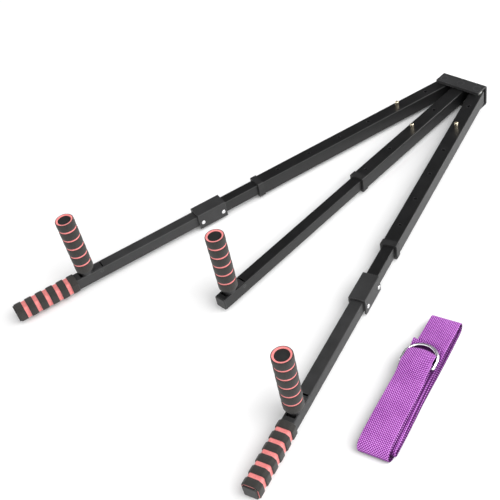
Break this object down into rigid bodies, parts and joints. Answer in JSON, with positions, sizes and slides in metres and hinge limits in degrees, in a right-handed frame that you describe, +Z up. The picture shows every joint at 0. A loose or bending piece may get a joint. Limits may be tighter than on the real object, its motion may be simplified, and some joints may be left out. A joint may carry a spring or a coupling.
{
  "type": "leg stretcher",
  "caption": "Folding leg stretcher: telescoping square bars pinned in a bracket, with foam grips, folding foam posts and a webbing strap with D-rings.",
  "frame": {"origin": "middle of the apex bracket's underside, on the floor", "axes": "the centre bar points along -Y, +X is to the right seen from the grips, +Z up"},
  "size_m": [0.6492, 0.8709, 0.1448],
  "materials": {
    "black_steel": "satin black powder coat",
    "black_plastic": "matt moulded black",
    "nylon": "natural nylon",
    "brass": "turned, lightly polished",
    "spring_steel": "blued spring strip",
    "rivet": "bright rivet",
    "foam": "soft closed-cell foam, black over a red core",
    "webbing": "purple woven cotton webbing",
    "chrome": "polished wire"
  },
  "bodies": {
    "bracket": {"apex_bracket": "black_steel", "left_pivot_pin": "black_steel", "left_washer_low": "nylon", "left_washer_high": "nylon", "centre_pivot_pin": "black_steel", "centre_washer_low": "nylon", "centre_washer_high": "nylon", "right_pivot_pin": "black_steel", "right_washer_low": "nylon", "right_washer_high": "nylon"},
    "left_bar": {"left_outer_tube": "black_steel", "left_collar": "black_plastic"},
    "left_slider": {"left_inner_tube": "black_steel", "left_glide": "nylon", "left_spring": "spring_steel"},
    "left_press_button": {"left_button": "brass"},
    "left_post": {"left_post_lever": "black_steel", "left_post_tube": "black_steel", "left_post_grip": "foam", "left_post_plug": "black_plastic"},
    "left_sleeve": {"left_fold_sleeve": "black_steel", "left_rivet_inner": "rivet", "left_rivet_outer": "rivet"},
    "left_foot": {"left_foot_tube": "black_steel", "left_post_pin": "black_steel", "left_handle_grip": "foam", "left_handle_plug": "black_plastic"},
    "centre_bar": {"centre_outer_tube": "black_steel", "centre_collar": "black_plastic"},
    "centre_slider": {"centre_inner_tube": "black_steel", "centre_glide": "nylon", "centre_spring": "spring_steel", "centre_post_pin": "black_steel", "centre_tip_plug": "black_plastic"},
    "centre_press_button": {"centre_button": "brass"},
    "centre_post": {"centre_post_lever": "black_steel", "centre_post_tube": "black_steel", "centre_post_grip": "foam", "centre_post_plug": "black_plastic"},
    "right_bar": {"right_outer_tube": "black_steel", "right_collar": "black_plastic"},
    "right_slider": {"right_inner_tube": "black_steel", "right_glide": "nylon", "right_spring": "spring_steel"},
    "right_press_button": {"right_button": "brass"},
    "right_post": {"right_post_lever": "black_steel", "right_post_tube": "black_steel", "right_post_grip": "foam", "right_post_plug": "black_plastic"},
    "right_sleeve": {"right_fold_sleeve": "black_steel", "right_rivet_inner": "rivet", "right_rivet_outer": "rivet"},
    "right_foot": {"right_foot_tube": "black_steel", "right_post_pin": "black_steel", "right_handle_grip": "foam", "right_handle_plug": "black_plastic"},
    "strap": {"strap_webbing": "webbing"},
    "ring_low": {"strap_ring_low": "chrome"},
    "ring_high": {"strap_ring_high": "chrome"}
  },
  "joints": [
    {"name": "left_swing", "type": "hinge", "parent": "bracket", "child": "left_bar", "pos_m": [-0.0352, -0.0025, 0.02], "axis": [0, 0, 1], "range_deg": [-75, 15]},
    {"name": "left_extend", "type": "slide", "parent": "left_bar", "child": "left_slider", "axis": [-0.2588, -0.9659, 0], "range_m": [-0.066, 0.264], "deforming": ["left_button"]},
    {"name": "left_button_press", "type": "slide", "parent": "left_slider", "child": "left_press_button", "axis": [0, 0, -1], "range_m": [0, 0.0132], "stiffness_N_per_m": 400, "springref_m": -0.01, "deforming": ["left_spring"]},
    {"name": "left_fold_inner", "type": "hinge", "parent": "left_slider", "child": "left_sleeve", "pos_m": [-0.16448, -0.48498, 0.0175], "axis": [0.9659, -0.2588, 0], "range_deg": [0, 90]},
    {"name": "left_fold_outer", "type": "hinge", "parent": "left_sleeve", "child": "left_foot", "pos_m": [-0.17483, -0.52362, 0.0175], "axis": [0.9659, -0.2588, 0], "range_deg": [0, 90]},
    {"name": "left_post_fold", "type": "hinge", "parent": "left_foot", "child": "left_post", "pos_m": [-0.22411, -0.70753, 0.0245], "axis": [-0.9659, 0.2588, 0], "range_deg": [0, 90]},
    {"name": "centre_swing", "type": "hinge", "parent": "bracket", "child": "centre_bar", "pos_m": [0, -0.0025, 0.02], "axis": [0, 0, 1], "range_deg": [-10, 10]},
    {"name": "centre_extend", "type": "slide", "parent": "centre_bar", "child": "centre_slider", "axis": [0, -1, 0], "range_m": [-0.066, 0.132], "deforming": ["centre_button"]},
    {"name": "centre_button_press", "type": "slide", "parent": "centre_slider", "child": "centre_press_button", "axis": [0, 0, -1], "range_m": [0, 0.0132], "stiffness_N_per_m": 400, "springref_m": -0.01, "deforming": ["centre_spring"]},
    {"name": "centre_post_fold", "type": "hinge", "parent": "centre_slider", "child": "centre_post", "pos_m": [0, -0.6002, 0.0245], "axis": [-1, 0, 0], "range_deg": [0, 90]},
    {"name": "right_swing", "type": "hinge", "parent": "bracket", "child": "right_bar", "pos_m": [0.0352, -0.0025, 0.02], "axis": [0, 0, 1], "range_deg": [-15, 75]},
    {"name": "right_extend", "type": "slide", "parent": "right_bar", "child": "right_slider", "axis": [0.2588, -0.9659, 0], "range_m": [-0.066, 0.264], "deforming": ["right_button"]},
    {"name": "right_button_press", "type": "slide", "parent": "right_slider", "child": "right_press_button", "axis": [0, 0, -1], "range_m": [0, 0.0132], "stiffness_N_per_m": 400, "springref_m": -0.01, "deforming": ["right_spring"]},
    {"name": "right_fold_inner", "type": "hinge", "parent": "right_slider", "child": "right_sleeve", "pos_m": [0.16448, -0.48498, 0.0175], "axis": [0.9659, 0.2588, 0], "range_deg": [0, 90]},
    {"name": "right_fold_outer", "type": "hinge", "parent": "right_sleeve", "child": "right_foot", "pos_m": [0.17483, -0.52362, 0.0175], "axis": [0.9659, 0.2588, 0], "range_deg": [0, 90]},
    {"name": "right_post_fold", "type": "hinge", "parent": "right_foot", "child": "right_post", "pos_m": [0.22411, -0.70753, 0.0245], "axis": [-0.9659, -0.2588, 0], "range_deg": [0, 90]},
    {"name": "strap_lift", "type": "slide", "parent": "right_bar", "child": "strap", "axis": [0, 0, 1], "range_m": [0, 0.3]},
    {"name": "ring_high_tilt", "type": "hinge", "parent": "strap", "child": "ring_high", "pos_m": [0.31281, -0.57239, 0.0256], "axis": [0.9728, 0.2317, 0], "range_deg": [0, 80]},
    {"name": "ring_low_tilt", "type": "hinge", "parent": "strap", "child": "ring_low", "pos_m": [0.31188, -0.56849, 0.022], "axis": [0.9728, 0.2317, 0], "range_deg": [0, 80]}
  ],
  "couplings": [
    {"joint": "ring_low_tilt", "follows": "ring_high_tilt", "ratio": 1}
  ]
}
